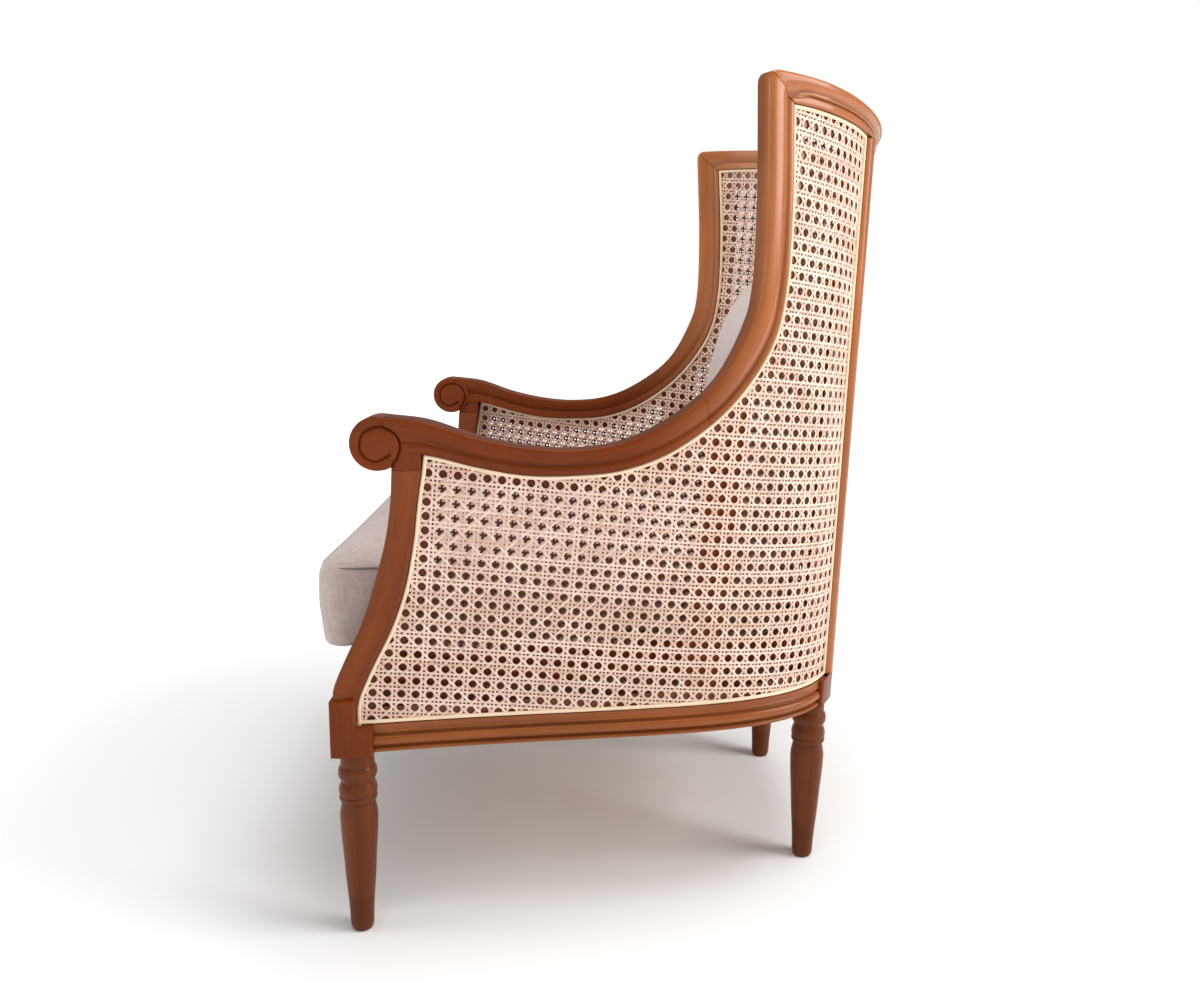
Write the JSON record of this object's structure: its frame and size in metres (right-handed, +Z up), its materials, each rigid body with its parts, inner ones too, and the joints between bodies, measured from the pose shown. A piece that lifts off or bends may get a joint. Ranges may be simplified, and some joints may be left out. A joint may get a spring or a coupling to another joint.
{
  "type": "wing armchair",
  "caption": "Wing armchair with a moulded hardwood frame, double caned sides and back, scrolled arms, turned legs, a loose seat cushion and a loose back cushion.",
  "frame": {"origin": "on the floor, under the middle of the chair's bounding box", "axes": "+Z up, the chair faces -Y, +X is the sitter's left"},
  "size_m": [0.7026, 0.6942, 0.991],
  "materials": {
    "frame_wood": "satin lacquer, reddish brown",
    "leg_wood": "satin lacquer, a duller brown",
    "hidden_wood": "sawn and unfinished",
    "cane": "natural cane, slight sheen",
    "cane_bead": "natural reed",
    "linen": "plain linen weave, matt",
    "platform_cloth": "plain cotton, matt",
    "piping": "dark covered cord, matt"
  },
  "bodies": {
    "frame": {"front_leg_left": "leg_wood", "front_leg_right": "leg_wood", "back_leg_left": "leg_wood", "back_leg_right": "leg_wood", "front_post_left": "frame_wood", "front_post_right": "frame_wood", "arm_rail_left": "frame_wood", "arm_rail_right": "frame_wood", "wing_stile_left": "frame_wood", "wing_stile_right": "frame_wood", "top_rail_left": "frame_wood", "top_rail_right": "frame_wood", "top_rail_back": "frame_wood", "back_post_left": "frame_wood", "back_post_right": "frame_wood", "side_seat_rail_left": "frame_wood", "side_seat_rail_right": "frame_wood", "back_seat_rail": "frame_wood", "front_seat_rail": "frame_wood", "seat_bearer_left": "hidden_wood", "seat_bearer_right": "hidden_wood", "corner_block_left": "hidden_wood", "corner_block_right": "hidden_wood", "seat_board": "hidden_wood", "seat_platform": "platform_cloth", "side_brace_left": "frame_wood", "side_brace_right": "frame_wood", "deck_slat_left": "frame_wood", "deck_slat_right": "frame_wood", "side_cane_outer_left": "cane", "side_cane_outer_right": "cane", "side_cane_inner_left": "cane", "side_cane_inner_right": "cane", "back_cane_outer": "cane", "back_cane_inner": "cane", "side_bead_outer_left": "cane_bead", "side_bead_outer_right": "cane_bead", "side_bead_inner_left": "cane_bead", "side_bead_inner_right": "cane_bead", "back_bead_outer": "cane_bead", "back_bead_inner": "cane_bead"},
    "seat_cushion": {"seat_cushion": "linen", "seat_piping_top": "piping", "seat_piping_bottom": "piping"},
    "back_cushion": {"back_cushion": "linen"}
  },
  "joints": [
    {"name": "seat_cushion_lift", "type": "slide", "parent": "frame", "child": "seat_cushion", "axis": [0, 0, 1], "range_m": [0, 0.35]},
    {"name": "back_cushion_lift", "type": "slide", "parent": "seat_cushion", "child": "back_cushion", "axis": [0, 0, 1], "range_m": [0, 0.4]}
  ]
}
